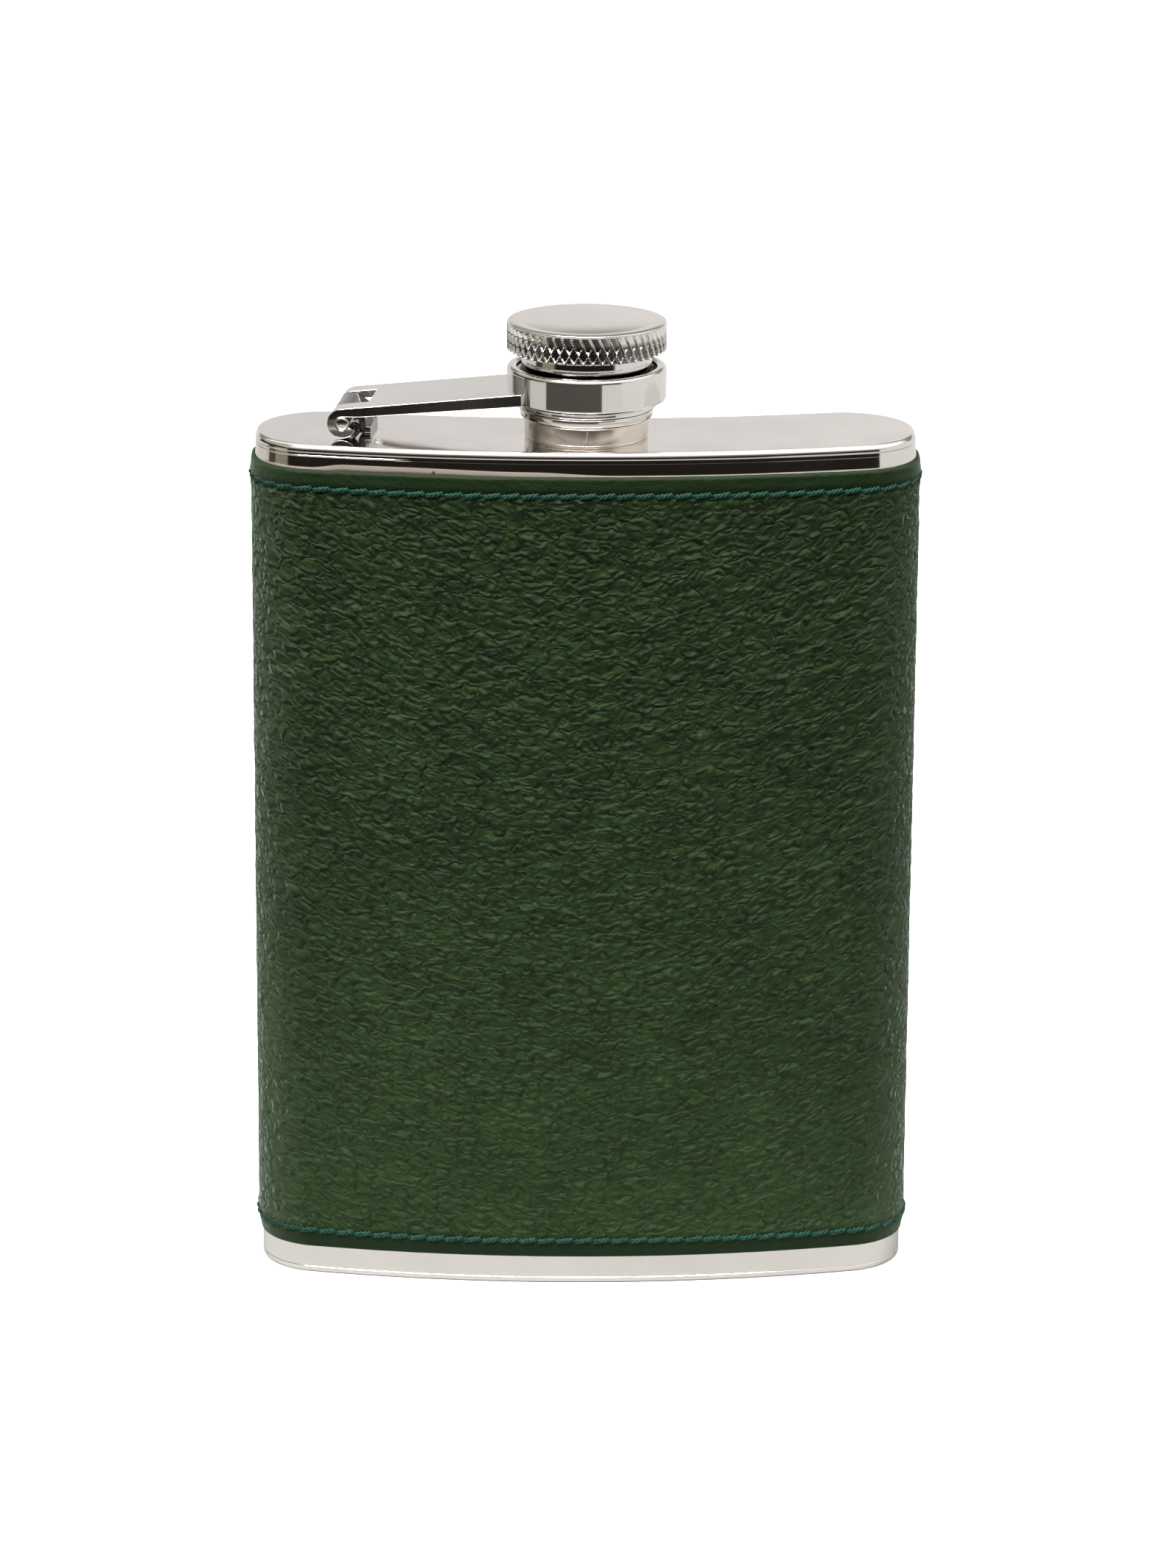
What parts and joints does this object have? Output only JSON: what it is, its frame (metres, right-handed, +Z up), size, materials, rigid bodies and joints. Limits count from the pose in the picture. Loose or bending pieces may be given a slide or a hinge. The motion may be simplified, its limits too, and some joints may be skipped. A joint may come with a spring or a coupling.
{
  "type": "hip flask",
  "caption": "Curved steel hip flask with a leather wrap, threaded neck and a knurled screw cap held captive in a collar on a hinged arm.",
  "frame": {"origin": "on the resting plane, under the middle of the object's box", "axes": "+Z up along the neck, +X to the right with the hinge on the left, -Y towards the viewer and the convex front"},
  "size_m": [0.0958, 0.0286, 0.1409],
  "materials": {
    "polished_steel": "mirror-polished stainless steel",
    "green_leather": "pebbled, semi-matt",
    "sewing_thread": "bonded thread, teal green",
    "seal": "translucent white, matt"
  },
  "bodies": {
    "flask": {"body_sleeve": "polished_steel", "shoulder_plate": "polished_steel", "base_plate": "polished_steel", "neck_spout": "polished_steel", "leather_wrap": "green_leather", "top_stitching": "sewing_thread", "bottom_stitching": "sewing_thread", "rear_stitching_left": "sewing_thread", "rear_stitching_right": "sewing_thread", "hinge_bracket": "polished_steel", "hinge_pin": "polished_steel"},
    "arm": {"cap_arm": "polished_steel", "collar_ring": "polished_steel"},
    "retainer": {"retaining_ring": "polished_steel"},
    "cap": {"cap_skirt": "polished_steel", "cap_head": "polished_steel", "cap_gasket": "seal"}
  },
  "joints": [
    {"name": "arm_swing", "type": "hinge", "parent": "flask", "child": "arm", "pos_m": [-0.0336, 0.0024, 0.1264], "axis": [-0.1255, -0.9921, 0], "range_deg": [0, 165]},
    {"name": "cap_lift", "type": "slide", "parent": "arm", "child": "retainer", "axis": [0, 0, 1], "range_m": [0, 0.004]},
    {"name": "cap_turn", "type": "hinge", "parent": "retainer", "child": "cap", "pos_m": [0, -0.00185, 0.132], "axis": [0, 0, 1], "range_deg": [0, 720]}
  ],
  "couplings": [
    {"joint": "cap_lift", "follows": "cap_turn", "m_per_rad": 0.00031831}
  ]
}
